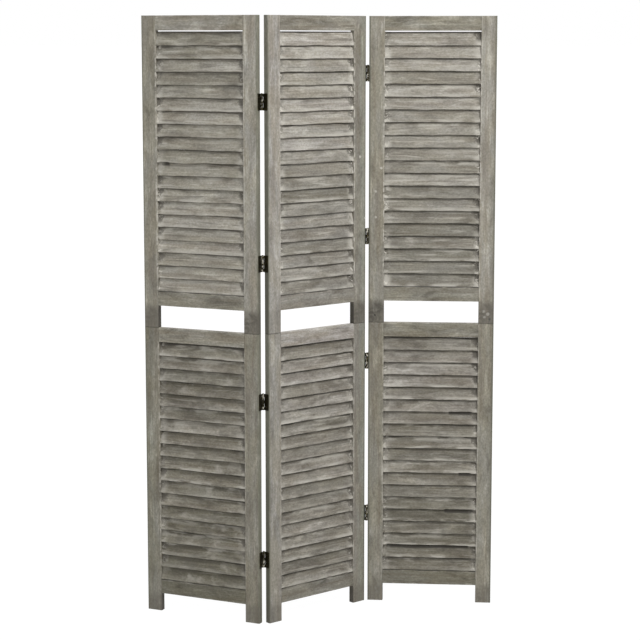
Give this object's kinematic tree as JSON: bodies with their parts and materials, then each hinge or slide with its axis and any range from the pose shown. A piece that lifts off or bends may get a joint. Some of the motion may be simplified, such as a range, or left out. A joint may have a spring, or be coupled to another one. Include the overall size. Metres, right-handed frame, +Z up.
{
  "type": "folding privacy screen",
  "caption": "Folding wooden room divider with hinged louvred panels: fixed slanted slats in stacked frames, an open window band at mid height and short feet.",
  "frame": {"origin": "on the floor, at the middle of the plan box of the screen as it stands in a zigzag", "axes": "+Z up along the stiles, +X along the screen to the viewer's right, -Y towards the viewer"},
  "size_m": [0.9678, 0.253, 1.65],
  "materials": {
    "frame_wood": "weathered grey wash, matt",
    "slat_wood": "weathered grey wash, worn pale along the edges",
    "dowel_wood": "bare",
    "hinge_leaf": "dark bronze, satin",
    "hinge_pin": "dark bronze, satin",
    "screw": "dark bronze, satin"
  },
  "bodies": {
    "middle_panel": {"left_fold_hinge_1_middle_leaf": "hinge_leaf", "left_fold_hinge_2_middle_leaf": "hinge_leaf", "left_fold_hinge_3_middle_leaf": "hinge_leaf", "left_fold_hinge_4_middle_leaf": "hinge_leaf", "left_fold_hinge_pins": "hinge_pin", "left_fold_middle_screws": "screw", "middle_joint_dowels": "dowel_wood", "middle_lower_bottom_rail": "frame_wood", "middle_lower_left_stile": "frame_wood", "middle_lower_right_stile": "frame_wood", "middle_lower_slats": "slat_wood", "middle_lower_top_rail": "frame_wood", "middle_rail_dowels": "dowel_wood", "middle_upper_bottom_rail": "frame_wood", "middle_upper_left_stile": "frame_wood", "middle_upper_right_stile": "frame_wood", "middle_upper_slats": "slat_wood", "middle_upper_top_rail": "frame_wood", "right_fold_hinge_1_middle_leaf": "hinge_leaf", "right_fold_hinge_2_middle_leaf": "hinge_leaf", "right_fold_hinge_3_middle_leaf": "hinge_leaf", "right_fold_hinge_4_middle_leaf": "hinge_leaf", "right_fold_hinge_pins": "hinge_pin", "right_fold_middle_screws": "screw"},
    "left_panel": {"left_fold_hinge_1_left_leaf": "hinge_leaf", "left_fold_hinge_2_left_leaf": "hinge_leaf", "left_fold_hinge_3_left_leaf": "hinge_leaf", "left_fold_hinge_4_left_leaf": "hinge_leaf", "left_fold_left_screws": "screw", "left_joint_dowels": "dowel_wood", "left_lower_bottom_rail": "frame_wood", "left_lower_left_stile": "frame_wood", "left_lower_right_stile": "frame_wood", "left_lower_slats": "slat_wood", "left_lower_top_rail": "frame_wood", "left_rail_dowels": "dowel_wood", "left_upper_bottom_rail": "frame_wood", "left_upper_left_stile": "frame_wood", "left_upper_right_stile": "frame_wood", "left_upper_slats": "slat_wood", "left_upper_top_rail": "frame_wood"},
    "right_panel": {"right_fold_hinge_1_right_leaf": "hinge_leaf", "right_fold_hinge_2_right_leaf": "hinge_leaf", "right_fold_hinge_3_right_leaf": "hinge_leaf", "right_fold_hinge_4_right_leaf": "hinge_leaf", "right_fold_right_screws": "screw", "right_joint_dowels": "dowel_wood", "right_lower_bottom_rail": "frame_wood", "right_lower_left_stile": "frame_wood", "right_lower_right_stile": "frame_wood", "right_lower_slats": "slat_wood", "right_lower_top_rail": "frame_wood", "right_rail_dowels": "dowel_wood", "right_upper_bottom_rail": "frame_wood", "right_upper_left_stile": "frame_wood", "right_upper_right_stile": "frame_wood", "right_upper_slats": "slat_wood", "right_upper_top_rail": "frame_wood"}
  },
  "joints": [
    {"name": "left_fold", "type": "hinge", "parent": "middle_panel", "child": "left_panel", "pos_m": [-0.15533, -0.10889, 0.825], "axis": [0, 0, 1], "range_deg": [-114, 66]},
    {"name": "right_fold", "type": "hinge", "parent": "middle_panel", "child": "right_panel", "pos_m": [0.13037, 0.10555, 0.825], "axis": [0, 0, 1], "range_deg": [-134, 46]}
  ]
}
